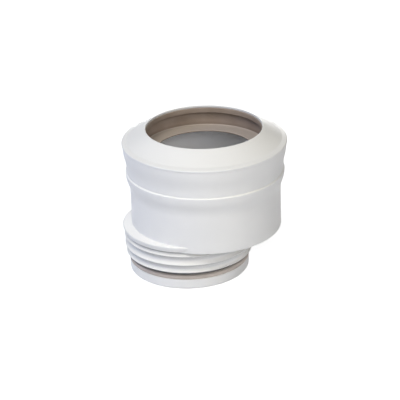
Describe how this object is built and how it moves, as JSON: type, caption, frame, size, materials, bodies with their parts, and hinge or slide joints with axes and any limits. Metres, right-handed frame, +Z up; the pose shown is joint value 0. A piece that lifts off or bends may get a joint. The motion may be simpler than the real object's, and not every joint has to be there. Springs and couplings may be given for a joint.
{
  "type": "toilet pan connector",
  "caption": "Eccentric toilet pan connector: a round bell with a lipped rubber seal that takes the pan's outlet, on an offset barbed spigot that enters the soil pipe.",
  "frame": {"origin": "centre of the spigot's end face, on which the connector stands", "axes": "+Z up along the spigot, from its end to the bell; +X from the spigot's axis towards the bell's axis; +Y completes the right-handed frame"},
  "size_m": [0.1536, 0.1504, 0.1333],
  "materials": {
    "white_plastic": "satin moulded white",
    "seal_rubber": "matt taupe rubber"
  },
  "bodies": {
    "root": {"body": "white_plastic", "cap": "white_plastic", "pan_seal": "seal_rubber", "spigot_seal": "seal_rubber"}
  },
  "joints": []
}
